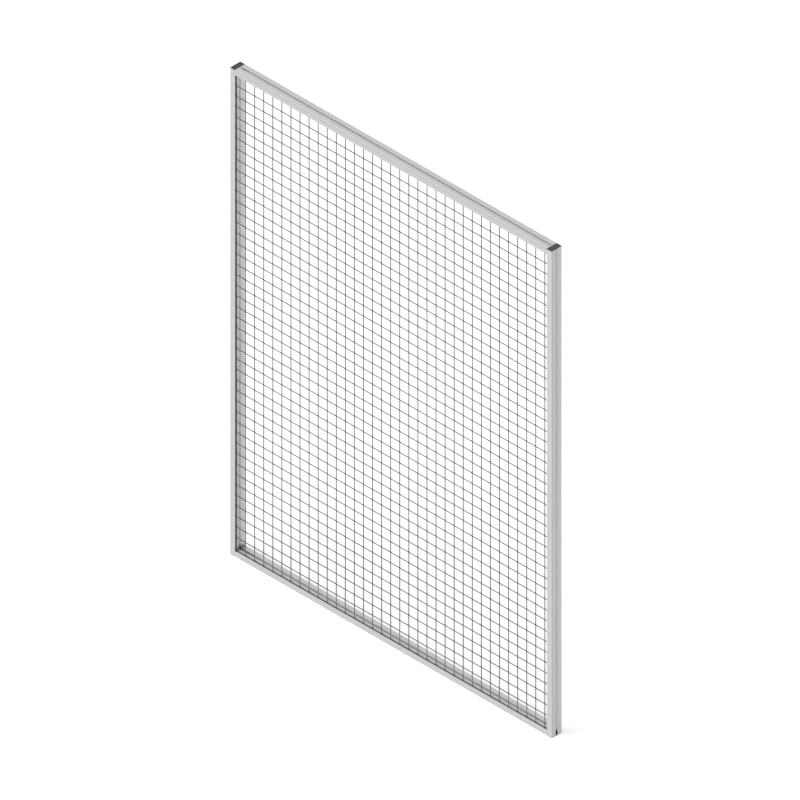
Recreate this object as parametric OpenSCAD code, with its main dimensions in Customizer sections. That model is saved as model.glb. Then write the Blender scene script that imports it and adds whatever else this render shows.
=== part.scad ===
// Machine guard fence panel: an aluminium frame of two posts and two rails around a welded wire mesh.
// X runs along the panel, Y from the front to the back and Z up. The origin lies on the left post's
// outer side face, on the land in front of its slot and at half the panel's height.

/* [Panel] */
// Width of the panel over both posts
panel_w = 1418; // [618:40:2018]
// Height of the panel over its end caps
panel_h = 1854; // [1854:40:2254]

/* [Frame profile] */
// Thickness of the profile, from the outer face to the inner face
profile_t = 21.5; // [21.5:0.5:23.5]
// Depth of the profile, from the front face to the back face
profile_d = 45; // [44:1:50]
// Thickness of the profile's walls and slot lips
wall_t = 2; // [1.8:0.1:2.2]
// Radius of the profile's outer corners
corner_r = 1.5; // [1:0.5:1.9]
// Width of the slot mouths
slot_w = 8.2; // [8:0.2:9]
// Width of the slots behind their lips
slot_cavity_w = 15; // [14:0.5:15.5]
// Depth of the slots
slot_depth = 7; // [6.5:0.5:8]
// Width of the groove that holds the mesh
groove_w = 6.2; // [6:0.1:6.6]

/* [Wire mesh] */
// Distance between the wires, both ways
mesh_pitch = 40; // [40:5:50]
// Thickness of the wires
wire_d = 3; // [2.5:0.1:3.2]
// Distance from the left outer face to the first upright wire
first_upright = 22; // [21:0.5:26]
// Height of the lowest level wire above the panel's underside
first_level = 73.1; // [60:0.1:80]
// Number of pieces that the mesh is made in, one above the other
mesh_bands = 5; // [5:1:5]

/* [End caps] */
// Thickness of the end cap plates
cap_t = 2; // [1.6:0.2:2.4]
// Width of the bevel around an end cap
cap_bevel = 1.2; // [0.8:0.1:1.4]
// Length of the slot tongue on a bottom cap
tongue_l = 13; // [10:1:25]

/* [Corner fasteners] */
// Length of the fastener body in a rail's slot
fastener_l = 15; // [14:1:24]
// Distance from the rail's end to the fastener's screw
screw_x = 9; // [8:0.5:10]

/* [Hidden] */
$fn = 48;

// Clearance between pieces that slide into each other
fit = 0.1;
// How far a cut runs past a face
past = 1;

// Slots in the middle of the outer and inner faces
slot_mid = profile_d / 2;
slot_lip = wall_t;

// Groove behind the front lip, which holds the mesh
lip_t = 1.8;
groove_back = lip_t + groove_w;
groove_floor = 10;
lip_reach = profile_t - 0.5;

// Chambers inside the profile
front_chamber_back = slot_mid - slot_cavity_w / 2 - wall_t;
back_chamber_front = slot_mid + slot_cavity_w / 2 + wall_t;
middle_web = 1.3;

// Seat on the left post's outer face that holds the origin
seat_y = (slot_mid - slot_w / 2) / 2;

// Mesh layers: level wires in front, upright wires behind, pressed into each other at the welds
weld_set = 0.4;
mesh_depth = 2 * wire_d - weld_set;
level_y = lip_t + (groove_w - mesh_depth) / 2 + wire_d / 2;
upright_y = level_y + wire_d - weld_set;
gasket_web = 2;
gasket_mouth = 18.2;
gasket_end_gap = 1.5;
thinnest_leg = 0.5;
wire_end = groove_floor + gasket_web;
upright_count = floor((panel_w - 2 * first_upright) / mesh_pitch) + 1;
level_count = floor((panel_h - first_level - gasket_mouth - wire_d / 2 - fit) / mesh_pitch) + 1;

// Caps, fasteners and screws
cap_inset = 1;
post_h = panel_h - 2 * cap_t;
rail_l = panel_w - 2 * profile_t;
peg_l = 20;
peg_wall_gap = 0.3;
recess_rim = 3;
recess_depth = 0.5;
face_setback = 0.4;
foot_t = 2.6;
hook_t = 3.5;
hook_h = 3;
screw_r = 3;
screw_setback = 0.8;
socket_af = 3;
socket_depth = 2.5;

// Puts a piece that is drawn from the panel's lower left front corner into the part's frame
module in_frame() {
    translate([0, -seat_y, -panel_h / 2]) children();
}

// Rectangle with round corners
module round_rect(w, d, r) {
    translate([r, 0]) square([w - 2 * r, d]);
    translate([0, r]) square([w, d - 2 * r]);
    for (x = [r, w - r], y = [r, d - r]) translate([x, y]) circle(r);
}

// T-slot outline: a narrow mouth at x = 0 with a wider cavity behind its lips
module slot_outline() {
    translate([-past, slot_mid - slot_w / 2]) square([slot_depth + past, slot_w]);
    translate([slot_lip, slot_mid - slot_cavity_w / 2]) square([slot_depth - slot_lip, slot_cavity_w]);
}

// Cross-section of the frame: x from the outer face inwards, y from the front face back
module profile_outline() {
    difference() {
        round_rect(profile_t, profile_d, corner_r);
        slot_outline();
        translate([profile_t, 0]) mirror([1, 0]) slot_outline();
        // groove for the mesh, open towards the panel
        translate([groove_floor, lip_t]) square([profile_t, groove_w]);
        // the front lip stands back from the inner face
        translate([lip_reach, -past]) square([profile_t, lip_t + 2 * past]);
        // closed chambers: in front of the slots, behind the groove, behind the slots and between them
        translate([wall_t, wall_t])
            square([groove_floor - 2 * wall_t, front_chamber_back - wall_t]);
        translate([groove_floor, groove_back + wall_t])
            square([profile_t - wall_t - groove_floor, front_chamber_back - groove_back - wall_t]);
        translate([wall_t, back_chamber_front])
            square([profile_t - 2 * wall_t, profile_d - wall_t - back_chamber_front]);
        translate([slot_depth + middle_web, slot_mid - slot_cavity_w / 2])
            square([profile_t - 2 * (slot_depth + middle_web), slot_cavity_w]);
    }
}

// Post standing on z = cap_t with its outer face at x = 0
module post() {
    translate([0, 0, cap_t]) linear_extrude(post_h) profile_outline();
}

// Rail lying along x between the posts with its outer face at z = 0, and its lip run up to theirs
module rail() {
    translate([profile_t, 0, 0]) {
        rotate([90, 0, 90]) linear_extrude(rail_l) mirror([1, -1]) profile_outline();
        for (x = [lip_reach - profile_t, rail_l]) translate([x, 0, corner_r])
            cube([profile_t - lip_reach, lip_t, lip_reach - corner_r]);
    }
}

// Plate with its upper rim bevelled, as the shape that two crossing wedge outlines share
module bevelled_plate(w, d, t, b) {
    intersection() {
        translate([0, d, 0]) rotate([90, 0, 0]) linear_extrude(d)
            polygon([[0, 0], [w, 0], [w, t - b], [w - b, t], [b, t], [0, t - b]]);
        rotate([90, 0, 90]) linear_extrude(w)
            polygon([[0, 0], [d, 0], [d, t - b], [d - b, t], [b, t], [0, t - b]]);
    }
}

// End cap on a post that ends at z = 0: a plate with a shallow recess and a peg in the back chamber
module cap() {
    w = profile_t - 2 * cap_inset;
    d = profile_d - cap_inset;
    translate([cap_inset, cap_inset / 2, 0]) difference() {
        bevelled_plate(w, d, cap_t, cap_bevel);
        translate([recess_rim, recess_rim, cap_t - recess_depth])
            cube([w - 2 * recess_rim, d - 2 * recess_rim, recess_depth + past]);
    }
    translate([wall_t + peg_wall_gap, back_chamber_front + peg_wall_gap, -peg_l])
        cube([profile_t - 2 * (wall_t + peg_wall_gap),
              profile_d - wall_t - back_chamber_front - 2 * peg_wall_gap, peg_l]);
}

// Bottom cap: the same cap with a tongue that fills the end of the outer slot
module bottom_cap() {
    cap();
    translate([face_setback, slot_mid - slot_w / 2 + fit, -tongue_l])
        cube([slot_depth - face_setback - fit, slot_w - 2 * fit, tongue_l]);
    translate([face_setback, slot_mid - slot_w / 2 + fit, -past])
        cube([cap_inset, slot_w - 2 * fit, past + cap_t - cap_bevel]);
}

// Corner fastener in the outer slot at a rail's end, from x = 0 with the rail's outer face at z = 0:
// a block with a foot in the slot's cavity, and a hook that reaches into the post's inner slot
module fastener() {
    difference() {
        union() {
            translate([0, slot_mid - slot_w / 2 + fit, face_setback])
                cube([fastener_l, slot_w - 2 * fit, slot_depth - face_setback]);
            translate([0, slot_mid - slot_cavity_w / 2 + fit, slot_lip + fit])
                cube([fastener_l, slot_cavity_w - 2 * fit, foot_t]);
        }
        translate([screw_x, slot_mid, -past]) cylinder(r = screw_r, h = slot_depth + 2 * past);
    }
    translate([-slot_lip - fit - past, slot_mid - slot_w / 2 + fit, slot_lip + fit])
        cube([slot_lip + fit + 2 * past, slot_w - 2 * fit, hook_h]);
    translate([-slot_lip - fit - hook_t, slot_mid - slot_cavity_w / 2 + fit, slot_lip + fit])
        cube([hook_t, slot_cavity_w - 2 * fit, hook_h]);
}

// Socket screw in a fastener, its head just inside the fastener's face
module screw() {
    translate([screw_x, slot_mid, screw_setback]) difference() {
        cylinder(r = screw_r, h = slot_depth - screw_setback);
        translate([0, 0, -past])
            cylinder(d = socket_af / cos(30), h = socket_depth + past, $fn = 6);
    }
}

// Gasket strip of length l along z in a groove: a web at the groove's floor, and legs that fill what
// the wires leave free on each side
module gasket(l, wire_y) {
    leg_front = max(0, wire_y - wire_d / 2 - fit - lip_t);
    leg_back = max(0, groove_back - wire_y - wire_d / 2 - fit);
    reach = gasket_mouth - groove_floor;
    linear_extrude(l) translate([groove_floor, lip_t]) {
        square([gasket_web, groove_w]);
        if (leg_front > thinnest_leg) square([reach, leg_front]);
        if (leg_back > thinnest_leg) translate([0, groove_w - leg_back]) square([reach, leg_back]);
    }
}

// Six-sided wire of length l along z
module wire(l) {
    rotate([0, 0, 30]) cylinder(d = wire_d, h = l, $fn = 6);
}

// One band of the mesh: its level wires, and the lengths of the upright wires that they cross
module mesh_band(band) {
    rows = level_count / mesh_bands;
    first_row = floor(band * rows);
    last_row = floor((band + 1) * rows) - 1;
    z0 = band == 0 ? wire_end : first_level + (first_row - 0.5) * mesh_pitch;
    z1 = band == mesh_bands - 1 ? panel_h - wire_end : first_level + (last_row + 0.5) * mesh_pitch;
    color("gray") in_frame() union() {
        for (i = [0 : upright_count - 1])
            translate([first_upright + i * mesh_pitch, upright_y, z0]) wire(z1 - z0);
        for (j = [first_row : last_row])
            translate([wire_end, level_y, first_level + j * mesh_pitch])
                rotate([0, 90, 0]) rotate([0, 0, 90]) wire(panel_w - 2 * wire_end);
    }
}

// Mirrors a left-hand piece to the right, and a lower piece to the top
module to_right() { translate([panel_w, 0, 0]) mirror([1, 0, 0]) children(); }
module to_top() { translate([0, 0, panel_h]) mirror([0, 0, 1]) children(); }

module left_post() { color("gainsboro") in_frame() post(); }
module right_post() { color("gainsboro") in_frame() to_right() post(); }
module bottom_rail() { color("gainsboro") in_frame() rail(); }
module top_rail() { color("gainsboro") in_frame() to_top() rail(); }

module top_left_cap() { color("dimgray") in_frame() translate([0, 0, cap_t + post_h]) cap(); }
module top_right_cap() {
    color("dimgray") in_frame() to_right() translate([0, 0, cap_t + post_h]) cap();
}
module bottom_left_cap() {
    color("dimgray") in_frame() translate([0, 0, cap_t]) mirror([0, 0, 1]) bottom_cap();
}
module bottom_right_cap() {
    color("dimgray") in_frame() to_right() translate([0, 0, cap_t]) mirror([0, 0, 1]) bottom_cap();
}

module at_rail_end() { translate([profile_t, 0, 0]) children(); }
module bottom_left_fastener() { color("silver") in_frame() at_rail_end() fastener(); }
module bottom_right_fastener() { color("silver") in_frame() to_right() at_rail_end() fastener(); }
module top_left_fastener() { color("silver") in_frame() to_top() at_rail_end() fastener(); }
module top_right_fastener() {
    color("silver") in_frame() to_top() to_right() at_rail_end() fastener();
}
module bottom_left_screw() { color("black") in_frame() at_rail_end() screw(); }
module bottom_right_screw() { color("black") in_frame() to_right() at_rail_end() screw(); }
module top_left_screw() { color("black") in_frame() to_top() at_rail_end() screw(); }
module top_right_screw() { color("black") in_frame() to_top() to_right() at_rail_end() screw(); }

// Gaskets: the posts' strips hold the level wires, the rails' strips the upright wires
module post_gasket() { translate([0, 0, profile_t]) gasket(panel_h - 2 * profile_t, level_y); }
module rail_gasket() {
    translate([profile_t + gasket_end_gap, 0, 0]) rotate([90, 0, 90]) mirror([1, -1, 0])
        gasket(rail_l - 2 * gasket_end_gap, upright_y);
}
module left_gasket() { color("black") in_frame() post_gasket(); }
module right_gasket() { color("black") in_frame() to_right() post_gasket(); }
module bottom_gasket() { color("black") in_frame() rail_gasket(); }
module top_gasket() { color("black") in_frame() to_top() rail_gasket(); }

left_post();
right_post();
top_rail();
bottom_rail();
top_left_cap();
top_right_cap();
bottom_left_cap();
bottom_right_cap();
top_left_fastener();
top_right_fastener();
bottom_left_fastener();
bottom_right_fastener();
top_left_screw();
top_right_screw();
bottom_left_screw();
bottom_right_screw();
left_gasket();
right_gasket();
top_gasket();
bottom_gasket();
mesh_band(0);  // mesh_band_1
mesh_band(1);  // mesh_band_2
mesh_band(2);  // mesh_band_3
mesh_band(3);  // mesh_band_4
mesh_band(4);  // mesh_band_5
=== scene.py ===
"""Machine guard fence panel: finishes for its frame, and its wire mesh, caps and fasteners."""

import math
from typing import NamedTuple

import bpy
from bpy.props import FloatProperty, FloatVectorProperty, IntProperty, PointerProperty
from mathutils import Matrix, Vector


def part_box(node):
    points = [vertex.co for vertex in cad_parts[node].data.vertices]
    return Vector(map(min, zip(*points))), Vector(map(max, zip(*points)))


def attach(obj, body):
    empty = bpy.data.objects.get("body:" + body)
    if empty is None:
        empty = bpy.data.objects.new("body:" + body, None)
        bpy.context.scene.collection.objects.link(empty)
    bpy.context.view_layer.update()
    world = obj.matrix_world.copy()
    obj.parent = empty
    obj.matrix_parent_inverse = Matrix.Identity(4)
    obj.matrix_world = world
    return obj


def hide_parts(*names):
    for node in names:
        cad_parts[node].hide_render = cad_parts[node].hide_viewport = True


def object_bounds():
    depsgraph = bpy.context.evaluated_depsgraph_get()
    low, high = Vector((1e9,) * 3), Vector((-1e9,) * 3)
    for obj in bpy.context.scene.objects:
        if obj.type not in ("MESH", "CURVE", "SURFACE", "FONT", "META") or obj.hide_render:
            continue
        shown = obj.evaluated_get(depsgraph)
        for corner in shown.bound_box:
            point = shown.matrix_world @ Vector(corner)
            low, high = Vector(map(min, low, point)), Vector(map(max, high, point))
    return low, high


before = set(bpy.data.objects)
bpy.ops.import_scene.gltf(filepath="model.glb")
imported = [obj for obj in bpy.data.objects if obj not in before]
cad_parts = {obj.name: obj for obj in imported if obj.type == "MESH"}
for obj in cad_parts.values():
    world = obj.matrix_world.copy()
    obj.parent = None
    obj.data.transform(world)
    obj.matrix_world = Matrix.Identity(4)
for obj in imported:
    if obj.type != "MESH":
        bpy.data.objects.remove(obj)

bl_info = {
    "name": "Machine Guard Fence Panel",
    "version": (1, 0, 0),
    "blender": (4, 5, 0),
    "location": "3D View > Sidebar > Guard Panel",
    "description": "Finishes a guard fence panel: frame, welded mesh, end caps and fasteners",
    "category": "Object",
}

CAD_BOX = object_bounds()
LOW, HIGH = CAD_BOX
CENTRE = (LOW + HIGH) / 2

POSTS = ("left_post", "right_post")
RAILS = ("top_rail", "bottom_rail")
CAPS = ("top_left_cap", "top_right_cap", "bottom_left_cap", "bottom_right_cap")
GASKETS = ("left_gasket", "right_gasket", "top_gasket", "bottom_gasket")
CORNERS = ("top_left", "top_right", "bottom_left", "bottom_right")
BANDS = tuple(sorted(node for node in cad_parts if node.startswith("mesh_band_")))

RIGHT = Vector((1.0, 0.0, 0.0))
UP = Vector((0.0, 0.0, 1.0))

# Tolerances, in metres
MERGED = 1e-6
SAME_PLACE = 1e-5
MARGIN = 1e-4

# Where materials change, in metres, mostly painted light and shade: across a slot (painted light),
# near a corner (painted shade), a weld (heat tint and painted shade) or the bottom rail (painted
# light), and past the groove's mouth (painted shade)
HALF_SLOT = 0.0077
SLOT_FADE = (0.0003, 0.0012)
PAINTED_LINE_DEPTH = 0.0007
CORNER_SHADE = 0.015
WELD_REACH = 0.009
PAINTED_RAIL_LIGHT = (0.046, 0.022)
WIRE_END = (-0.003, -0.0005)

PAINTED_RAIL_LIGHT_BRIGHTNESS = 1.55
LAYER_STEEPNESS = 20.0

# Shapes: a radius in metres, a height for each width, and angles in degrees
EDGE_RADIUS = 0.0003
BEAD_HEIGHT = 0.42
FLAT_ANGLE = 0.5
SHARP_ANGLE = 40

# The stage, in metres
CAMERA_DISTANCE = 6.0
CAMERA_REACH = 60.0
LAMP_DISTANCE = 24.0
FLOOR_SIZE = 40.0

FLOOR_COLOUR = (0.8, 0.8, 0.8)
FLOOR_GLOW = 0.52
WHITE = (1.0, 1.0, 1.0)


class PaintedLine(NamedTuple):
    """A painted highlight or painted shade line beside a member's outer front edge: its start and
    end from it, and brightness.
    """

    start: float
    end: float
    brightness: float


class MemberFinish(NamedTuple):
    """How the posts or the rails look."""

    name: str
    nodes: tuple
    across: Vector
    along: Vector
    stretch: tuple
    brightness: float
    slot_painted_light: float
    side_painted_line: PaintedLine
    front_painted_line: PaintedLine
    end_shadow: float


NO_PAINTED_LINE = PaintedLine(0.0, 0.0, 1.0)
# Painted light and shade: the posts a little lighter than the rails, slots lighter on the posts
# than on the rails, highlight and shade lines beside the outer front edges, and a shadow reaching
# in from one end.
FRAME_FINISHES = (
    MemberFinish(
        name="anodised posts", nodes=POSTS, across=RIGHT, along=UP, stretch=(900.0, 900.0, 3.0),
        brightness=1.01, slot_painted_light=1.06, side_painted_line=PaintedLine(0.0012, 0.0055, 0.85),
        front_painted_line=NO_PAINTED_LINE, end_shadow=0.015),
    MemberFinish(
        name="anodised rails", nodes=RAILS, across=UP, along=RIGHT, stretch=(3.0, 900.0, 900.0),
        brightness=0.98, slot_painted_light=0.92, side_painted_line=PaintedLine(0.0015, 0.0042, 1.25),
        front_painted_line=PaintedLine(0.0015, 0.0036, 0.66), end_shadow=0.095),
)


# Settings

def length_setting(name, description, **limits):
    """A length in metres that the sidebar shows."""
    return FloatProperty(name=name, description=description, unit="LENGTH", **limits)


def colour_setting(name, description, default):
    """A colour that the sidebar shows."""
    return FloatVectorProperty(
        name=name, description=description, default=default, subtype="COLOR", size=3, min=0.0,
        max=1.0)


class GuardPanelMesh(bpy.types.PropertyGroup):
    """Sizes of the welded wire mesh."""

    wire: length_setting("Wire", "Thickness of a wire", default=0.003, min=0.002, max=0.004)
    pitch: length_setting("Pitch", "Distance between two wires", default=0.04, min=0.02, max=0.06)
    first_upright: length_setting(
        "First upright", "Distance of the first upright wire from the panel's end", default=0.022,
        min=0.02, max=0.03)
    weld_set: length_setting(
        "Weld set", "How far two wires are pressed into each other at a weld", default=0.0004,
        min=0.0, max=0.001)
    bead: length_setting(
        "Weld bead", "Width of the metal squeezed out around a weld", default=0.0042, min=0.003,
        max=0.005)
    sides: IntProperty(
        name="Sides", description="Sides of a round wire", default=16, min=8, max=24)


class GuardPanelGaskets(bpy.types.PropertyGroup):
    """Sizes of the rubber strips."""

    mouth: length_setting(
        "Mouth", "How far the lips stay inside the groove's mouth", default=0.0004, min=0.0,
        max=0.003)
    lip: length_setting("Lip", "Least thickness of a lip", default=0.0002, min=0.0001, max=0.001)
    web: length_setting(
        "Web", "Thickness of the web at the groove's floor", default=0.002, min=0.001, max=0.003)
    slack: length_setting(
        "Slack", "Space between a wire and a lip", default=0.0002, min=0.0, max=0.001)
    rounding: length_setting(
        "Rounding", "Rounding of the thicker lip's edges", default=0.0004, min=0.0, max=0.001)


class GuardPanelCaps(bpy.types.PropertyGroup):
    """Sizes of the end caps."""

    plate: length_setting("Plate", "Thickness of the plate", default=0.002, min=0.001, max=0.004)
    inset: length_setting(
        "Inset", "Distance of the plate's edge from the post's faces", default=0.0003, min=0.0,
        max=0.002)
    corner: length_setting(
        "Corner", "Radius of the plate's corners", default=0.0014, min=0.0005, max=0.003)
    rounding: length_setting(
        "Rounding", "Rounding of the plate's rim", default=0.0006, min=0.0002, max=0.001)
    rim: length_setting(
        "Rim", "Width of the rim around the recess", default=0.003, min=0.002, max=0.005)
    wall: length_setting(
        "Wall", "Width of the recess's sloping wall", default=0.0003, min=0.0001, max=0.001)
    recess: length_setting("Recess", "Depth of the recess", default=0.0005, min=0.0001, max=0.001)
    peg_gap: length_setting(
        "Peg gap", "Distance of the peg from the post's faces", default=0.0023, min=0.002,
        max=0.003)
    peg_depth: length_setting(
        "Peg depth", "Size of the peg from front to back", default=0.0104, min=0.005, max=0.012)
    sink: length_setting(
        "Sink", "How far peg and tongue reach into the plate", default=0.0008, min=0.0, max=0.001)
    tongue: length_setting(
        "Tongue", "Length of the tongue in the outer slot", default=0.0126, min=0.005, max=0.03)
    tongue_width: length_setting(
        "Tongue width", "Width of the tongue", default=0.0081, min=0.005, max=0.0082)
    tongue_depth: length_setting(
        "Tongue depth", "How deep the tongue reaches into the slot", default=0.0069, min=0.003,
        max=0.007)
    setback: length_setting(
        "Setback", "Distance of the tongue from the post's outer face", default=0.0003, min=0.0,
        max=0.001)


class GuardPanelColours(bpy.types.PropertyGroup):
    """Colours of the panel's finishes."""

    aluminium: colour_setting(
        "Aluminium", "Colour of the anodised frame", default=(0.62, 0.63, 0.635))
    # Painted light: the back of the faces toward the mesh is lighter than the rest of the frame,
    # against the shade that the mesh casts there.
    inner: colour_setting(
        "Inner faces", "Colour of the frame's faces that face the mesh",
        default=(0.725, 0.73, 0.735))
    # Painted light: the insides of the slots are lighter than the faces around them, standing in
    # for light that reaches into them.
    slot: colour_setting(
        "Slots", "Colour inside the frame's slots, which wear has not dulled",
        default=(0.80, 0.805, 0.81))
    # Painted shade in the corners between posts and rails.
    corner_shade: colour_setting(
        "Corner shade", "Colour of the dust in the corners between posts and rails",
        default=(0.30, 0.31, 0.31))
    wire: colour_setting("Wire", "Colour of the plated wire", default=(0.125, 0.128, 0.131))
    # Heat tint at the welds, together with painted shade where the wires cross.
    weld: colour_setting("Weld", "Colour of the wire around a weld", default=(0.07, 0.07, 0.072))
    plastic: colour_setting("Plastic", "Colour of the moulded caps", default=(0.078, 0.081, 0.081))
    # Painted shade: the tongue in the slot is far darker than the plate of the same moulding.
    tongue: colour_setting("Tongue", "Colour of the caps' tongues", default=(0.006, 0.006, 0.006))
    rubber: colour_setting("Rubber", "Colour of the gasket strips", default=(0.175, 0.178, 0.18))
    # Painted shade: the wires near black inside the grooves.
    wire_end_shade: colour_setting(
        "Wire ends", "Colour of the wires' blackened ends", default=(0.012, 0.012, 0.012))
    zinc: colour_setting("Zinc", "Colour of the plated fasteners", default=(0.52, 0.53, 0.54))
    oxide: colour_setting("Black oxide", "Colour of the screws", default=(0.04, 0.04, 0.042))


class GuardPanelStudio(bpy.types.PropertyGroup):
    """Camera and light."""

    azimuth: FloatProperty(
        name="Azimuth", description="Turn of the camera around the panel", subtype="ANGLE",
        default=math.radians(45), min=-math.pi, max=math.pi)
    elevation: FloatProperty(
        name="Elevation", description="Height of the camera above the horizon", subtype="ANGLE",
        default=math.radians(35), min=0.0, max=math.pi / 2)
    span: length_setting("Span", "Width that the camera sees", default=2.4956, min=1.0, max=5.0)
    aim_right: length_setting(
        "Aim right", "How far the camera aims to the right of the panel's middle", default=0.0127,
        min=-0.5, max=0.5)
    aim_up: length_setting(
        "Aim up", "How far the camera aims above the panel's middle", default=-0.0008, min=-0.5,
        max=0.5)
    ambient: FloatProperty(
        name="Ambient", description="Strength of the light from all around",
        default=0.17, min=0.0, max=2.0)
    key: FloatProperty(
        name="Key", description="Power of the large lamp above, to the left", default=4000.0,
        min=0.0, max=6000.0, unit="POWER")
    fill: FloatProperty(
        name="Fill", description="Power of the large lamp to the right", default=2630.0,
        min=0.0, max=6000.0, unit="POWER")


class GuardPanelSettings(bpy.types.PropertyGroup):
    """All the panel's settings."""

    mesh: PointerProperty(type=GuardPanelMesh)
    gaskets: PointerProperty(type=GuardPanelGaskets)
    caps: PointerProperty(type=GuardPanelCaps)
    colours: PointerProperty(type=GuardPanelColours)
    studio: PointerProperty(type=GuardPanelStudio)


# Modelling helpers

def deselect():
    """Leaves edit mode and selects nothing."""
    active = bpy.context.view_layer.objects.active
    if active and active.mode != "OBJECT":
        bpy.ops.object.mode_set(mode="OBJECT")
    bpy.ops.object.select_all(action="DESELECT")


def activate(piece):
    """Makes piece the one selected and active object."""
    deselect()
    piece.select_set(True)
    bpy.context.view_layer.objects.active = piece


def named(name):
    """The object that a primitive operator has just made, under its own name."""
    piece = bpy.context.object
    piece.name = name
    piece.data.name = name
    return piece


def select_where(piece, wanted, kind="FACE"):
    """Selects the faces, edges or vertices of piece that wanted() says, and stays in edit mode."""
    activate(piece)
    bpy.ops.object.mode_set(mode="EDIT")
    bpy.ops.mesh.select_mode(type=kind)
    bpy.ops.mesh.select_all(action="DESELECT")
    bpy.ops.object.mode_set(mode="OBJECT")
    mesh = piece.data
    parts = {"FACE": mesh.polygons, "EDGE": mesh.edges, "VERT": mesh.vertices}[kind]
    for part in parts:
        part.select = wanted(part)
    bpy.ops.object.mode_set(mode="EDIT")


def settle(piece):
    """Puts piece's place, turn and scale into its mesh."""
    activate(piece)
    bpy.ops.object.transform_apply(location=True, rotation=True, scale=True)


def apply_modifier(piece, kind, **settings):
    """Adds a modifier to piece and applies it."""
    activate(piece)
    modifier = piece.modifiers.new(kind.lower(), kind)
    for name, value in settings.items():
        setattr(modifier, name, value)
    bpy.ops.object.modifier_apply(modifier=modifier.name)


def repeat(piece, count, step):
    """Copies piece count times, each copy a step on from the one before."""
    apply_modifier(
        piece, "ARRAY", count=count, use_relative_offset=False, use_constant_offset=True,
        constant_offset_displace=step)


def smooth(piece, angle):
    """Shades piece smooth over edges flatter than angle, with its flat faces kept flat."""
    activate(piece)
    bpy.ops.object.shade_smooth_by_angle(angle=math.radians(angle))


def finish(piece, material, slot, *nodes):
    """Gives piece its finish, its body and a material slot, and hides the CAD nodes that it stands
    for. The slot argument is not used.
    """
    piece.data.materials.clear()
    piece.data.materials.append(material)
    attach(piece, "root")
    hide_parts(*nodes)


def softened(node, name):
    """A copy of a CAD node as one clean skin, with its sharp edges rounded."""
    deselect()
    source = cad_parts[node]
    piece = bpy.data.objects.new(name, source.data.copy())
    bpy.context.collection.objects.link(piece)
    activate(piece)
    bpy.ops.object.mode_set(mode="EDIT")
    bpy.ops.mesh.select_all(action="SELECT")
    bpy.ops.mesh.remove_doubles(threshold=MERGED)
    bpy.ops.mesh.dissolve_limited(angle_limit=math.radians(FLAT_ANGLE))
    bpy.ops.object.mode_set(mode="OBJECT")
    apply_modifier(
        piece, "BEVEL", width=EDGE_RADIUS, segments=2, limit_method="ANGLE",
        angle_limit=math.radians(SHARP_ANGLE), use_clamp_overlap=True, miter_outer="MITER_SHARP")
    smooth(piece, angle=50)
    apply_modifier(piece, "WEIGHTED_NORMAL", keep_sharp=True)
    return piece


def opening():
    """Half the width and half the height of the space inside the frame."""
    return CENTRE.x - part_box("left_post")[1].x, CENTRE.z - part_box("bottom_rail")[1].z


def wire_depths(sizes):
    """Y of the level wires' middles, which lie in front, and of the upright wires' middles."""
    level_y = min(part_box(band)[0].y for band in BANDS) + sizes.wire / 2
    return level_y, level_y + sizes.wire - sizes.weld_set


# Shader node groups

def new_group(name, inputs, outputs):
    """An empty shader node group with these sockets, and its input and output nodes."""
    group = bpy.data.node_groups.new(name, "ShaderNodeTree")
    for title, kind in inputs:
        group.interface.new_socket(name=title, in_out="INPUT", socket_type=f"NodeSocket{kind}")
    for title, kind in outputs:
        group.interface.new_socket(name=title, in_out="OUTPUT", socket_type=f"NodeSocket{kind}")
    return group, group.nodes.new("NodeGroupInput"), group.nodes.new("NodeGroupOutput")


def math_node(tree, operation, *values):
    """A math node, with each value a number or the socket that feeds it. Returns its output."""
    node = tree.nodes.new("ShaderNodeMath")
    node.operation = operation
    for socket, value in zip(node.inputs, values):
        if isinstance(value, (int, float)):
            socket.default_value = value
        else:
            tree.links.new(value, socket)
    return node.outputs[0]


def vector_node(tree, operation, *values):
    """A vector math node, with each value a vector or the socket that feeds it."""
    node = tree.nodes.new("ShaderNodeVectorMath")
    node.operation = operation
    for socket, value in zip(node.inputs, values):
        if isinstance(value, (tuple, Vector)):
            socket.default_value = value
        else:
            tree.links.new(value, socket)
    return node.outputs["Value" if operation == "DOT_PRODUCT" else "Vector"]


def noise_node(tree, vector, scale, detail, roughness):
    """Noise from 0 to 1."""
    node = tree.nodes.new("ShaderNodeTexNoise")
    node.inputs["Scale"].default_value = scale
    node.inputs["Detail"].default_value = detail
    node.inputs["Roughness"].default_value = roughness
    tree.links.new(vector, node.inputs["Vector"])
    return node.outputs["Fac"]


def ramp_node(tree, value, start, end):
    """A smooth ramp from 0 where value is start to 1 where it is end."""
    ramp = tree.nodes.new("ShaderNodeMapRange")
    ramp.interpolation_type = "SMOOTHSTEP"
    ramp.inputs["From Min"].default_value = start
    ramp.inputs["From Max"].default_value = end
    tree.links.new(value, ramp.inputs["Value"])
    return ramp.outputs["Result"]


def scale_node(tree, vector, factor):
    """A vector or colour times a number, both given as sockets."""
    node = tree.nodes.new("ShaderNodeVectorMath")
    node.operation = "SCALE"
    tree.links.new(vector, node.inputs[0])
    tree.links.new(factor, node.inputs["Scale"])
    return node.outputs["Vector"]


def split_node(tree, vector):
    """The X, Y and Z outputs of a vector."""
    node = tree.nodes.new("ShaderNodeSeparateXYZ")
    tree.links.new(vector, node.inputs["Vector"])
    return node.outputs


def tinted(tree, colour, amount):
    """Colour made lighter or darker by amount, which varies around 0."""
    return scale_node(tree, colour, math_node(tree, "ADD", amount, 1.0))


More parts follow.
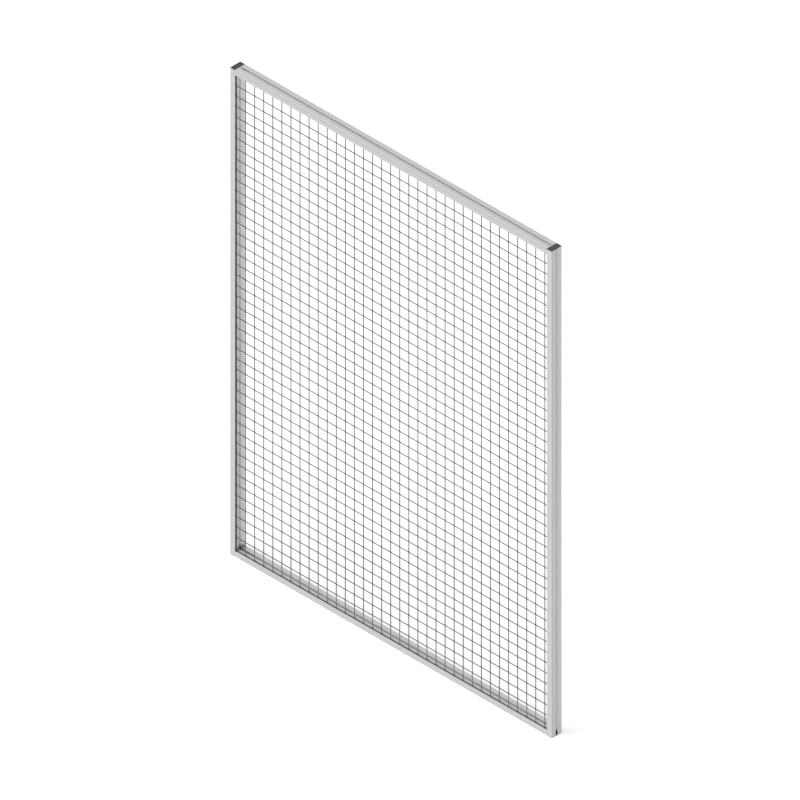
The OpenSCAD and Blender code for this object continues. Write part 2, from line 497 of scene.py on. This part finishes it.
def shown_rays(tree):
    """1 for the camera's rays and those that metal or glass sends on, and 0 for light's."""
    paths = tree.nodes.new("ShaderNodeLightPath").outputs
    return math_node(
        tree, "MAXIMUM", paths["Is Camera Ray"],
        math_node(tree, "MAXIMUM", paths["Is Glossy Ray"], paths["Is Transmission Ray"]))


def new_texture_group(name, place_kind, place_title):
    """An empty group that varies a colour and a roughness over a place, and gives a height."""
    return new_group(
        name,
        [("Vector", "Vector"), (place_title, place_kind), ("Color", "Color"),
         ("Contrast", "Float"), ("Roughness", "Float")],
        [("Color", "Color"), ("Roughness", "Float"), ("Height", "Float")])


def vary(group, entry, result, amount, unevenness):
    """Makes a texture group's colour and roughness vary by amount, which is around 0."""
    shade = math_node(group, "MULTIPLY", amount, entry.outputs["Contrast"])
    group.links.new(tinted(group, entry.outputs["Color"], shade), result.inputs["Color"])
    uneven = math_node(group, "MULTIPLY", amount, unevenness)
    group.links.new(
        math_node(group, "ADD", entry.outputs["Roughness"], uneven), result.inputs["Roughness"])


def build_lines_group():
    """Fine lines drawn along an extruded profile."""
    group, entry, result = new_texture_group("drawn_lines", "Vector", "Stretch")
    place = vector_node(group, "MULTIPLY", entry.outputs["Vector"], entry.outputs["Stretch"])
    noise = noise_node(group, place, scale=1.0, detail=3.0, roughness=0.6)
    lines = math_node(group, "SUBTRACT", noise, 0.5)
    vary(group, entry, result, lines, unevenness=0.2)
    group.links.new(lines, result.inputs["Height"])
    return group


def build_grain_group():
    """Fine grain, with wider clouds under it."""
    group, entry, result = new_texture_group("fine_grain", "Float", "Scale")
    place = scale_node(group, entry.outputs["Vector"], entry.outputs["Scale"])
    grain = noise_node(group, place, scale=1.0, detail=2.0, roughness=0.6)
    clouds = noise_node(group, place, scale=0.06, detail=2.0, roughness=0.5)
    both = math_node(group, "SUBTRACT", math_node(group, "ADD", grain, clouds), 1.0)
    vary(group, entry, result, both, unevenness=0.25)
    group.links.new(grain, result.inputs["Height"])
    return group


def build_weld_group():
    """A mask that is 1 at the crossings of a square mesh and fades out over Reach."""
    group, entry, result = new_group(
        "weld_tint_and_shade",
        [("Vector", "Vector"), ("First", "Vector"), ("Pitch", "Float"), ("Reach", "Float")],
        [("Mask", "Float")])
    offset = split_node(
        group, vector_node(group, "SUBTRACT", entry.outputs["Vector"], entry.outputs["First"]))
    squares = []
    for axis in ("X", "Z"):
        cells = math_node(group, "DIVIDE", offset[axis], entry.outputs["Pitch"])
        cells = math_node(group, "FRACT", math_node(group, "ADD", cells, 0.5))
        away = math_node(
            group, "MULTIPLY", math_node(group, "SUBTRACT", cells, 0.5), entry.outputs["Pitch"])
        squares.append(math_node(group, "MULTIPLY", away, away))
    distance = math_node(group, "SQRT", math_node(group, "ADD", *squares))
    share = math_node(group, "DIVIDE", distance, entry.outputs["Reach"])
    fade = math_node(group, "SUBTRACT", 1.0, share)
    group.links.new(math_node(group, "MAXIMUM", fade, 0.0), result.inputs["Mask"])
    return group


def build_depth_group():
    """Masks for a frame member's painted light and shade: the face toward the mesh, its slots,
    lines beside its outer front edge, and its corners.
    """
    lengths = (
        "Reach", "Thickness", "Half depth", "Half slot", "Side strip start", "Side strip end",
        "Front strip start", "Front strip end", "Seam", "Corner shade", "End shadow")
    masks = ("Inner", "Slot", "Side strip", "Front strip", "Corner")
    group, entry, result = new_group(
        "frame_depth",
        [(title, "Vector") for title in ("Vector", "Centre", "Across", "Along")]
        + [(title, "Float") for title in lengths],
        [(title, "Float") for title in masks])

    def both(*values):
        """1 where both of two masks are, as their product."""
        return math_node(group, "MULTIPLY", *values)

    given = entry.outputs
    offset = vector_node(group, "SUBTRACT", given["Vector"], given["Centre"])
    from_middle = split_node(group, offset)["Y"]
    beside = math_node(group, "ABSOLUTE", from_middle)
    across = vector_node(group, "DOT_PRODUCT", offset, given["Across"])
    deep = math_node(group, "SUBTRACT", given["Reach"], math_node(group, "ABSOLUTE", across))
    middle = math_node(group, "MULTIPLY", given["Thickness"], 0.5)
    facing = both(
        math_node(group, "GREATER_THAN", deep, middle),
        math_node(group, "LESS_THAN", beside, given["Half depth"]))
    # Painted light: the back half of the face toward the mesh.
    behind = math_node(group, "GREATER_THAN", from_middle, 0.0)
    group.links.new(both(facing, behind), result.inputs["Inner"])

    # Painted light: the insides of the slots, lighter than the faces around them.
    from_inner = math_node(group, "SUBTRACT", given["Thickness"], deep)
    slot = both(
        ramp_node(group, math_node(group, "MINIMUM", deep, from_inner), *SLOT_FADE),
        math_node(group, "LESS_THAN", beside, given["Half slot"]))
    group.links.new(slot, result.inputs["Slot"])

    # Painted highlight and shade: a line beside the outer front edge on the outer face, and one on
    # the front face.
    from_front = math_node(group, "ADD", from_middle, given["Half depth"])
    for title, distance, depth in (
            ("Side strip", from_front, deep), ("Front strip", deep, from_front)):
        strip = both(
            math_node(group, "GREATER_THAN", distance, given[f"{title} start"]),
            math_node(group, "LESS_THAN", distance, given[f"{title} end"]))
        surface = math_node(group, "LESS_THAN", depth, PAINTED_LINE_DEPTH)
        group.links.new(both(strip, surface), result.inputs[title])

    # Painted shade lies in both corners on the faces toward the mesh, and a painted shadow reaches
    # further along the slot from one end: the rails' left end and the posts' bottom end.
    along = vector_node(group, "DOT_PRODUCT", offset, given["Along"])
    away = math_node(group, "SUBTRACT", given["Seam"], math_node(group, "ABSOLUTE", along))
    near = ramp_node(group, math_node(group, "DIVIDE", away, given["Corner shade"]), 1.0, 0.0)
    from_end = math_node(group, "ADD", given["Seam"], along)
    end_shadow = both(
        slot, ramp_node(group, math_node(group, "DIVIDE", from_end, given["End shadow"]), 1.0, 0.0))
    group.links.new(
        both(facing, math_node(group, "MAXIMUM", near, end_shadow)), result.inputs["Corner"])
    return group


def shared_group(name, build):
    """The shader node group of that name, built the first time it is asked for."""
    return bpy.data.node_groups.get(name) or build()


# Materials

def new_material(name):
    """A new material. Returns it, its node tree, its Principled BSDF and object coordinates."""
    material = bpy.data.materials.new(name)
    material.use_nodes = True
    tree = material.node_tree
    shader = tree.nodes["Principled BSDF"]
    place = tree.nodes.new("ShaderNodeTexCoord").outputs["Object"]
    return material, tree, shader, place


def opaque(colour):
    """Colour with full alpha."""
    return (*colour, 1.0)


def add_group(tree, group, place, **values):
    """Places a shared group in a material, with its own values. Returns the group's node."""
    node = tree.nodes.new("ShaderNodeGroup")
    node.node_tree = group
    tree.links.new(place, node.inputs["Vector"])
    for title, value in values.items():
        if isinstance(value, bpy.types.NodeSocket):
            tree.links.new(value, node.inputs[title])
        else:
            node.inputs[title].default_value = value
    return node


def mix_colours(tree, mask, under, over):
    """The colour under, with the colour over it by the mask. Each is a colour or its socket."""
    mix = tree.nodes.new("ShaderNodeMix")
    mix.data_type = "RGBA"
    tree.links.new(mask, mix.inputs["Factor"])
    for title, colour in (("A", under), ("B", over)):
        if isinstance(colour, bpy.types.NodeSocket):
            tree.links.new(colour, mix.inputs[title])
        else:
            mix.inputs[title].default_value = opaque(colour)
    return mix.outputs["Result"]


def add_bump(tree, shader, height, distance):
    """Feeds a height into the shader's normal, as relief of this depth in metres."""
    bump = tree.nodes.new("ShaderNodeBump")
    bump.inputs["Strength"].default_value = 1.0
    bump.inputs["Distance"].default_value = distance
    tree.links.new(height, bump.inputs["Height"])
    tree.links.new(bump.outputs["Normal"], shader.inputs["Normal"])


def finish_shader(tree, shader, colour, roughness, metallic):
    """Connects the colour and the roughness, and sets how metallic the surface is."""
    tree.links.new(colour, shader.inputs["Base Color"])
    tree.links.new(roughness, shader.inputs["Roughness"])
    shader.inputs["Metallic"].default_value = metallic


def aluminium(member):
    """Anodised aluminium, with fine lines along the profile and a satin grain, and painted light
    and shade: lighter slots and faces toward the mesh, lines along the outer front edges and shaded
    corners.
    """
    material, tree, shader, place = new_material(member.name)
    colours = bpy.context.scene.guard_panel.colours
    low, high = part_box(member.nodes[0])
    half_width, half_height = opening()
    depth = add_group(
        tree, shared_group("frame_depth", build_depth_group), place, **{
            "Centre": CENTRE, "Across": member.across, "Along": member.along,
            "Reach": max(abs((corner - CENTRE).dot(member.across)) for corner in (low, high)),
            "Thickness": (high - low).dot(member.across),
            "Half depth": (high.y - low.y) / 2 - MARGIN, "Half slot": HALF_SLOT,
            "Side strip start": member.side_painted_line.start, "Side strip end": member.side_painted_line.end,
            "Front strip start": member.front_painted_line.start,
            "Front strip end": member.front_painted_line.end,
            "Seam": Vector((half_width, 0.0, half_height)).dot(member.along),
            "Corner shade": CORNER_SHADE, "End shadow": member.end_shadow})
    bare = Vector(colours.aluminium)
    # Painted light and shade: the member's own brightness, a little more on the posts and less on
    # the rails.
    colour = bare * member.brightness
    # Painted light and shade over it: the back of the face toward the mesh and the slots lighter, a
    # highlight or shade line beside the outer front edge, and shade in the corners.
    for mask, over in (
            ("Inner", colours.inner),
            ("Slot", Vector(colours.slot) * member.slot_painted_light),
            ("Side strip", bare * member.side_painted_line.brightness),
            ("Front strip", bare * member.front_painted_line.brightness),
            ("Corner", colours.corner_shade)):
        colour = mix_colours(tree, depth.outputs[mask], colour, over)
    lines = add_group(
        tree, shared_group("drawn_lines", build_lines_group), place, Stretch=member.stretch,
        Color=colour, Contrast=0.10, Roughness=0.42)
    grain = add_group(
        tree, shared_group("fine_grain", build_grain_group), place, Scale=2500.0,
        Color=lines.outputs["Color"], Contrast=0.05, Roughness=lines.outputs["Roughness"])
    finish_shader(tree, shader, grain.outputs["Color"], grain.outputs["Roughness"], metallic=0.35)
    shader.inputs["Specular Tint"].default_value = (0.5, 0.5, 0.5, 1.0)
    shader.inputs["Specular IOR Level"].default_value = 0.3
    add_bump(tree, shader, lines.outputs["Height"], distance=0.00003)
    return material


def plated_wire(name, first, pitch, between_y):
    """Zinc plated wire: darker around each weld, from heat tint and painted shade; painted light
    near the bottom rail; and painted shade, near black, in the grooves.
    """
    material, tree, shader, place = new_material(name)
    colours = bpy.context.scene.guard_panel.colours
    grain = add_group(
        tree, shared_group("fine_grain", build_grain_group), place, Scale=900.0,
        Color=opaque(colours.wire), Contrast=0.25, Roughness=0.55)
    # Darker around each weld: heat tint, together with painted shade where the wires cross.
    weld = add_group(
        tree, shared_group("weld_tint_and_shade", build_weld_group), place, First=first, Pitch=pitch,
        Reach=WELD_REACH)
    colour = mix_colours(tree, weld.outputs["Mask"], grain.outputs["Color"], colours.weld)
    offset = split_node(tree, vector_node(tree, "SUBTRACT", place, CENTRE))
    half_width, half_height = opening()

    # Painted light: the wires are lighter just above the bottom rail, as if lit by the pale rail.
    above_rail = math_node(tree, "ADD", offset["Z"], half_height)
    colour = mix_colours(
        tree, ramp_node(tree, above_rail, *PAINTED_RAIL_LIGHT), colour,
        Vector(colours.wire) * PAINTED_RAIL_LIGHT_BRIGHTNESS)

    # Painted shade: all wires turn near black in the grooves above and below, and the level ones,
    # in front, also in those at the sides.
    past_x, past_z = (
        math_node(tree, "SUBTRACT", math_node(tree, "ABSOLUTE", offset[axis]), half)
        for axis, half in (("X", half_width), ("Z", half_height)))
    in_front = math_node(tree, "SUBTRACT", between_y - CENTRE.y, offset["Y"])
    steep = math_node(tree, "MULTIPLY", in_front, LAYER_STEEPNESS)
    level_end = math_node(tree, "MINIMUM", past_x, steep)
    past = math_node(tree, "MAXIMUM", past_z, level_end)
    colour = mix_colours(tree, ramp_node(tree, past, *WIRE_END), colour, colours.wire_end_shade)
    finish_shader(tree, shader, colour, grain.outputs["Roughness"], metallic=0.3)
    add_bump(tree, shader, grain.outputs["Height"], distance=0.00004)
    return material


def moulded_plastic(name, half_height):
    """Grained, dull black plastic, with painted shade, near black, on the tongue and the peg inside
    the post.
    """
    material, tree, shader, place = new_material(name)
    colours = bpy.context.scene.guard_panel.colours
    grain = add_group(
        tree, shared_group("fine_grain", build_grain_group), place, Scale=2200.0,
        Color=opaque(colours.plastic), Contrast=0.35, Roughness=0.55)
    offset = split_node(tree, vector_node(tree, "SUBTRACT", place, CENTRE))
    # Painted shade: everything below the plate, the tongue and the peg, takes the near black tongue
    # colour.
    painted_shade_inside = math_node(
        tree, "LESS_THAN", math_node(tree, "ABSOLUTE", offset["Z"]), half_height)
    colour = mix_colours(tree, painted_shade_inside, grain.outputs["Color"], colours.tongue)
    finish_shader(tree, shader, colour, grain.outputs["Roughness"], metallic=0.0)
    shader.inputs["Specular IOR Level"].default_value = 0.1
    add_bump(tree, shader, grain.outputs["Height"], distance=0.00006)
    return material


def grained(name, colour, scale, contrast, roughness, metallic, relief):
    """A plain finish with grain: rubber, plating or oxide."""
    material, tree, shader, place = new_material(name)
    grain = add_group(
        tree, shared_group("fine_grain", build_grain_group), place, Scale=scale,
        Color=opaque(colour), Contrast=contrast, Roughness=roughness)
    finish_shader(tree, shader, grain.outputs["Color"], grain.outputs["Roughness"], metallic)
    add_bump(tree, shader, grain.outputs["Height"], relief)
    return material


# Operators

class GUARD_PANEL_OT_stage(bpy.types.Operator):
    """Make the floor, the light and the camera"""

    bl_idname = "guard_panel.stage"
    bl_label = "Stage"

    def execute(self, context):
        studio = context.scene.guard_panel.studio
        self.make_camera(context, studio)
        self.make_floor()
        self.make_world(context, studio)
        self.make_lamps(studio)
        context.scene.view_settings.view_transform = "Standard"
        return {"FINISHED"}

    def make_camera(self, context, studio):
        """An orthographic camera that looks down at the panel's front from its right."""
        turn, rise = studio.azimuth, studio.elevation
        back = Vector((
            math.sin(turn) * math.cos(rise), -math.cos(turn) * math.cos(rise), math.sin(rise)))
        right = Vector((math.cos(turn), math.sin(turn), 0.0))
        up = back.cross(right)
        aim = CENTRE + right * studio.aim_right + up * studio.aim_up
        deselect()
        bpy.ops.object.camera_add(location=aim + back * CAMERA_DISTANCE)
        camera = bpy.context.object
        camera.name = "camera"
        camera.rotation_mode = "QUATERNION"
        camera.rotation_quaternion = (-back).to_track_quat("-Z", "Y")
        camera.data.type = "ORTHO"
        camera.data.ortho_scale = studio.span
        camera.data.clip_end = CAMERA_REACH
        context.scene.camera = camera

    def make_floor(self):
        """A wide pale floor at the panel's underside, which shows white and keeps a soft shadow."""
        deselect()
        bpy.ops.mesh.primitive_plane_add(size=FLOOR_SIZE, location=(CENTRE.x, CENTRE.y, LOW.z))
        floor = named("floor")
        material = bpy.data.materials.new("pale floor")
        material.use_nodes = True
        tree = material.node_tree
        tree.nodes.clear()
        output = tree.nodes.new("ShaderNodeOutputMaterial")
        diffuse = tree.nodes.new("ShaderNodeBsdfDiffuse")
        diffuse.inputs["Color"].default_value = opaque(FLOOR_COLOUR)
        glow = tree.nodes.new("ShaderNodeEmission")
        glow.inputs["Strength"].default_value = FLOOR_GLOW
        seen = tree.nodes.new("ShaderNodeAddShader")
        tree.links.new(diffuse.outputs[0], seen.inputs[0])
        tree.links.new(glow.outputs[0], seen.inputs[1])
        mix = tree.nodes.new("ShaderNodeMixShader")
        tree.links.new(shown_rays(tree), mix.inputs["Fac"])
        tree.links.new(diffuse.outputs[0], mix.inputs[1])
        tree.links.new(seen.outputs[0], mix.inputs[2])
        tree.links.new(mix.outputs[0], output.inputs["Surface"])
        floor.data.materials.append(material)

    def make_world(self, context, studio):
        """White wherever it shows, and a soft even light on the panel."""
        world = bpy.data.worlds.new("studio")
        world.use_nodes = True
        tree = world.node_tree
        backdrop = tree.nodes["Background"]
        backdrop.inputs["Color"].default_value = opaque(WHITE)
        extra = math_node(tree, "MULTIPLY", shown_rays(tree), 1.0 - studio.ambient)
        strength = math_node(tree, "ADD", extra, studio.ambient)
        tree.links.new(strength, backdrop.inputs["Strength"])
        context.scene.world = world

    def make_lamps(self, studio):
        """Two large soft lamps: one above and to the left, one lower and to the right."""
        for name, power, width, way in (
                ("key", studio.key, 14.4, (-0.20, -0.32, 0.93)),
                ("fill", studio.fill, 16.0, (0.645, -0.69, 0.32))):
            spot = CENTRE + Vector(way).normalized() * LAMP_DISTANCE
            deselect()
            bpy.ops.object.light_add(type="AREA", location=spot)
            lamp = bpy.context.object
            lamp.name = name
            lamp.data.shape = "SQUARE"
            lamp.data.size = width
            lamp.data.energy = power
            lamp.visible_glossy = False
            lamp.rotation_mode = "QUATERNION"
            lamp.rotation_quaternion = (CENTRE - spot).to_track_quat("-Z", "Y")


class GUARD_PANEL_OT_frame(bpy.types.Operator):
    """Finish the posts and rails in anodised aluminium"""

    bl_idname = "guard_panel.frame"
    bl_label = "Posts and Rails"

    def execute(self, context):
        for member in FRAME_FINISHES:
            material = aluminium(member)
            for node in member.nodes:
                finish(softened(node, f"{node}_profile"), material, "frame", node)
        return {"FINISHED"}


class GUARD_PANEL_OT_caps(bpy.types.Operator):
    """Model the moulded end caps: a recessed plate, a peg in the post and, on the bottom caps, a
    tongue in its slot
    """

    bl_idname = "guard_panel.caps"
    bl_label = "End Caps"

    def execute(self, context):
        sizes = context.scene.guard_panel.caps
        plastic = moulded_plastic("moulded plastic", (HIGH.z - LOW.z) / 2 - sizes.plate - MARGIN)
        for node in CAPS:
            finish(self.make_cap(node, sizes), plastic, "cap", node)
        return {"FINISHED"}

    def make_cap(self, node, sizes):
        """One cap: a plate with a round rim and a recess, and the parts inside the post."""
        post_low, post_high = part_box("left_post" if "left" in node else "right_post")
        low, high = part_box(node)
        up, face, end = (1.0, high.z, low.z) if "top" in node else (-1.0, low.z, high.z)
        under = face - up * sizes.plate
        plate_low = Vector((post_low.x + sizes.inset, post_low.y + sizes.inset, under))
        plate_high = Vector((post_high.x - sizes.inset, post_high.y - sizes.inset, face))
        cap = self.make_block(f"{node}_moulding", plate_low, plate_high)

        def outer_face(part):
            """Whether an edge or a face lies in the plate's outer face."""
            return all(
                abs(cap.data.vertices[index].co.z - face) < SAME_PLACE for index in part.vertices)

        def standing(edge):
            """Whether an edge stands at a corner of the plate."""
            start, end = (cap.data.vertices[index].co for index in edge.vertices)
            return abs(start.z - end.z) > SAME_PLACE

        select_where(cap, standing, "EDGE")
        bpy.ops.mesh.bevel(offset=sizes.corner, segments=4, affect="EDGES")
        select_where(cap, outer_face, "EDGE")
        bpy.ops.mesh.bevel(offset=sizes.rounding, segments=3, affect="EDGES")

        # The outer face is inset until its corners are sharp, because the recess's are. The
        # small steps that are left at its corners then merge into one point each.
        sharp = sizes.corner - sizes.rounding
        select_where(cap, outer_face)
        bpy.ops.mesh.inset(thickness=0.9 * sharp, depth=0.0)
        bpy.ops.mesh.remove_doubles(threshold=sharp)
        area = (plate_high.x - plate_low.x) * (plate_high.y - plate_low.y)
        select_where(cap, lambda part: outer_face(part) and part.area > area / 2)
        bpy.ops.mesh.inset(thickness=sizes.rim - sizes.rounding - sharp, depth=0.0)
        bpy.ops.mesh.inset(thickness=sizes.wall, depth=-sizes.recess)
        bpy.ops.object.mode_set(mode="OBJECT")
        sunk = under + up * sizes.sink
        back = post_high.y - sizes.peg_gap
        blocks = [(
            (post_low.x + sizes.peg_gap, back - sizes.peg_depth, end),
            (post_high.x - sizes.peg_gap, back, sunk))]
        if "bottom" in node:
            outer, way = (post_low.x, 1.0) if "left" in node else (post_high.x, -1.0)
            blocks.append((
                (outer + way * sizes.setback, CENTRE.y - sizes.tongue_width / 2, sunk),
                (outer + way * sizes.tongue_depth, CENTRE.y + sizes.tongue_width / 2,
                 under - up * sizes.tongue)))
        parts = [cap]
        for corners in blocks:
            block = self.make_block("block", *corners)
            select_where(block, lambda part: True)
            bpy.ops.mesh.bevel(offset=sizes.rounding / 2, segments=2, affect="EDGES")
            bpy.ops.object.mode_set(mode="OBJECT")
            parts.append(block)
        activate(cap)
        for part in parts:
            part.select_set(True)
        bpy.ops.object.join()
        smooth(cap, angle=35)
        return cap

    def make_block(self, name, start, end):
        """A plain block between two of its corners."""
        start, end = Vector(start), Vector(end)
        deselect()
        bpy.ops.mesh.primitive_cube_add(size=1.0, location=(start + end) / 2)
        block = named(name)
        block.scale = [abs(length) for length in end - start]
        settle(block)
        return block


class GUARD_PANEL_OT_fasteners(bpy.types.Operator):
    """Finish the corner fasteners and their screws"""

    bl_idname = "guard_panel.fasteners"
    bl_label = "Corner Fasteners"

    def execute(self, context):
        colours = context.scene.guard_panel.colours
        zinc = grained(
            "zinc plating", colours.zinc, scale=1500.0, contrast=0.12, roughness=0.4,
            metallic=0.5, relief=0.00003)
        oxide = grained(
            "black oxide", colours.oxide, scale=2500.0, contrast=0.3, roughness=0.45,
            metallic=0.3, relief=0.00003)
        for corner in CORNERS:
            body, screw = f"{corner}_fastener", f"{corner}_screw"
            finish(softened(body, f"{body}_body"), zinc, "fastener", body)
            finish(softened(screw, f"{screw}_head"), oxide, "screw", screw)
        return {"FINISHED"}


class GUARD_PANEL_OT_gaskets(bpy.types.Operator):
    """Model the rubber strips that line the frame's grooves around the mesh"""

    bl_idname = "guard_panel.gaskets"
    bl_label = "Gasket Strips"

    def execute(self, context):
        settings = context.scene.guard_panel
        rubber = grained(
            "black rubber", settings.colours.rubber, scale=1800.0, contrast=0.3, roughness=0.7,
            metallic=0.0, relief=0.00005)
        half_width, half_height = opening()
        level_y, upright_y = wire_depths(settings.mesh)
        for node in GASKETS:
            if "left" in node or "right" in node:
                strip = self.make_strip(node, 0, half_width, level_y, settings)
            else:
                strip = self.make_strip(node, 2, half_height, upright_y, settings)
            finish(strip, rubber, "gasket", node)
        return {"FINISHED"}

    def make_strip(self, node, across, half, wire_y, settings):
        """A channel of rubber: a web at the groove's floor, and a lip on each side of the wires."""
        sizes, wire = settings.gaskets, settings.mesh.wire
        low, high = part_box(node)
        along = 2 - across
        side = 1.0 if low[across] > CENTRE[across] else -1.0
        floor = high[across] if side > 0 else low[across]
        mouth = CENTRE[across] + side * (half + sizes.mouth)
        web = floor - side * sizes.web
        gap_low = max(low.y + sizes.lip, wire_y - wire / 2 - sizes.slack)
        gap_high = min(high.y - sizes.lip, wire_y + wire / 2 + sizes.slack)

        middle = (low + high) / 2
        middle[across] = (floor + mouth) / 2
        middle[along] = low[along]
        deselect()
        bpy.ops.mesh.primitive_plane_add(
            size=1.0, location=middle, rotation=(0.0, 0.0 if along == 2 else math.pi / 2, 0.0))
        strip = named(f"{node}_strip")
        strip.scale = (abs(mouth - floor), high.y - low.y, 1.0)
        settle(strip)
        for axis, place in ((1, gap_low), (1, gap_high), (across, web)):
            plane = Vector((0.0, 0.0, 0.0))
            plane[axis] = 1.0
            select_where(strip, lambda face: True)
            bpy.ops.mesh.bisect(plane_co=plane * place, plane_no=plane)
        select_where(
            strip, lambda face: gap_low < face.center.y < gap_high
            and (web - face.center[across]) * side > 0)
        bpy.ops.mesh.delete(type="FACE")
        thick = low.y if gap_low - low.y > high.y - gap_high else high.y
        select_where(
            strip, lambda corner: abs(corner.co[across] - mouth) < SAME_PLACE
            and abs(corner.co.y - thick) < (high.y - low.y) / 2, "VERT")
        bpy.ops.mesh.bevel(offset=sizes.rounding, segments=3, affect="VERTICES")
        bpy.ops.mesh.select_mode(type="FACE")
        bpy.ops.mesh.select_all(action="SELECT")
        length = Vector((0.0, 0.0, 0.0))
        length[along] = high[along] - low[along]
        bpy.ops.mesh.extrude_region_move(TRANSFORM_OT_translate={"value": length})
        bpy.ops.mesh.select_all(action="SELECT")
        bpy.ops.mesh.normals_make_consistent(inside=False)
        bpy.ops.object.mode_set(mode="OBJECT")
        smooth(strip, angle=40)
        return strip


class GUARD_PANEL_OT_wire_mesh(bpy.types.Operator):
    """Model the welded mesh from round wires and weld beads"""

    bl_idname = "guard_panel.wire_mesh"
    bl_label = "Wire Mesh"

    def execute(self, context):
        sizes = context.scene.guard_panel.mesh
        boxes = [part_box(node) for node in BANDS]
        low = Vector([min(box[0][axis] for box in boxes) for axis in range(3)])
        high = Vector([max(box[1][axis] for box in boxes) for axis in range(3)])
        band_low, band_high = boxes[1]
        rows = round((band_high.z - band_low.z) / sizes.pitch)
        self.levels = rows * len(BANDS)
        self.first_level = band_low.z - (rows - 0.5) * sizes.pitch
        self.first_upright = LOW.x + sizes.first_upright
        self.uprights = int((high.x - self.first_upright) / sizes.pitch) + 1
        self.level_y, self.upright_y = wire_depths(sizes)
        first = Vector((self.first_upright, 0.0, self.first_level))
        wire_finish = plated_wire(
            "plated wire", first, sizes.pitch, (self.level_y + self.upright_y) / 2)
        for piece in (
                self.make_uprights(sizes, low, high), self.make_levels(sizes, low, high),
                self.make_beads(sizes)):
            finish(piece, wire_finish, "mesh", *BANDS)
        return {"FINISHED"}

    def make_wire(self, name, sizes, length, middle, turn):
        """One round wire with its cut ends chamfered."""
        deselect()
        bpy.ops.mesh.primitive_cylinder_add(
            vertices=sizes.sides, radius=sizes.wire / 2, depth=length, location=middle,
            rotation=turn)
        wire = named(name)
        settle(wire)
        select_where(wire, lambda face: len(face.vertices) > 4)
        bpy.ops.mesh.bevel(offset=sizes.wire / 10, segments=1, affect="EDGES")
        bpy.ops.object.mode_set(mode="OBJECT")
        return wire

    def make_uprights(self, sizes, low, high):
        """The upright wires, behind."""
        wire = self.make_wire(
            "upright_wires", sizes, high.z - low.z,
            (self.first_upright, self.upright_y, (low.z + high.z) / 2), (0.0, 0.0, 0.0))
        repeat(wire, self.uprights, (sizes.pitch, 0.0, 0.0))
        smooth(wire, angle=40)
        return wire

    def make_levels(self, sizes, low, high):
        """The level wires, in front."""
        wire = self.make_wire(
            "level_wires", sizes, high.x - low.x,
            ((low.x + high.x) / 2, self.level_y, self.first_level), (0.0, math.pi / 2, 0.0))
        repeat(wire, self.levels, (0.0, 0.0, sizes.pitch))
        smooth(wire, angle=40)
        return wire

    def make_beads(self, sizes):
        """The metal squeezed out at each weld, as a flat bead between the two wires."""
        deselect()
        bpy.ops.mesh.primitive_uv_sphere_add(
            segments=8, ring_count=5, radius=sizes.bead / 2,
            location=(self.first_upright, (self.upright_y + self.level_y) / 2, self.first_level),
            rotation=(math.pi / 2, math.pi / 8, 0.0))
        bead = named("weld_beads")
        bead.scale = (1.0, 1.0, BEAD_HEIGHT)
        settle(bead)
        repeat(bead, self.uprights, (sizes.pitch, 0.0, 0.0))
        repeat(bead, self.levels, (0.0, 0.0, sizes.pitch))
        smooth(bead, angle=80)
        return bead


class GUARD_PANEL_PT_sidebar(bpy.types.Panel):
    """The panel's steps and settings"""

    bl_idname = "GUARD_PANEL_PT_sidebar"
    bl_label = "Guard Panel"
    bl_space_type = "VIEW_3D"
    bl_region_type = "UI"
    bl_category = "Guard Panel"

    def draw(self, context):
        settings = context.scene.guard_panel
        for operator in OPERATORS:
            self.layout.operator(operator.bl_idname)
        for title in ("mesh", "gaskets", "caps", "colours", "studio"):
            group = getattr(settings, title)
            box = self.layout.box()
            box.label(text=title.capitalize())
            for name in group.__annotations__:
                box.prop(group, name)


OPERATORS = (
    GUARD_PANEL_OT_stage,
    GUARD_PANEL_OT_frame,
    GUARD_PANEL_OT_caps,
    GUARD_PANEL_OT_fasteners,
    GUARD_PANEL_OT_gaskets,
    GUARD_PANEL_OT_wire_mesh,
)
CLASSES = (
    GuardPanelMesh,
    GuardPanelGaskets,
    GuardPanelCaps,
    GuardPanelColours,
    GuardPanelStudio,
    GuardPanelSettings,
    *OPERATORS,
    GUARD_PANEL_PT_sidebar,
)


def register():
    """Adds the panel's operators and settings to Blender."""
    for cls in CLASSES:
        bpy.utils.register_class(cls)
    bpy.types.Scene.guard_panel = PointerProperty(type=GuardPanelSettings)


def unregister():
    """Takes the panel's operators and settings out of Blender."""
    del bpy.types.Scene.guard_panel
    for cls in reversed(CLASSES):
        bpy.utils.unregister_class(cls)


def main():
    """Makes all of the panel's pieces and the stage."""
    register()
    bpy.ops.guard_panel.stage()
    bpy.ops.guard_panel.frame()
    bpy.ops.guard_panel.caps()
    bpy.ops.guard_panel.fasteners()
    bpy.ops.guard_panel.gaskets()
    bpy.ops.guard_panel.wire_mesh()


if __name__ == "__main__":
    main()
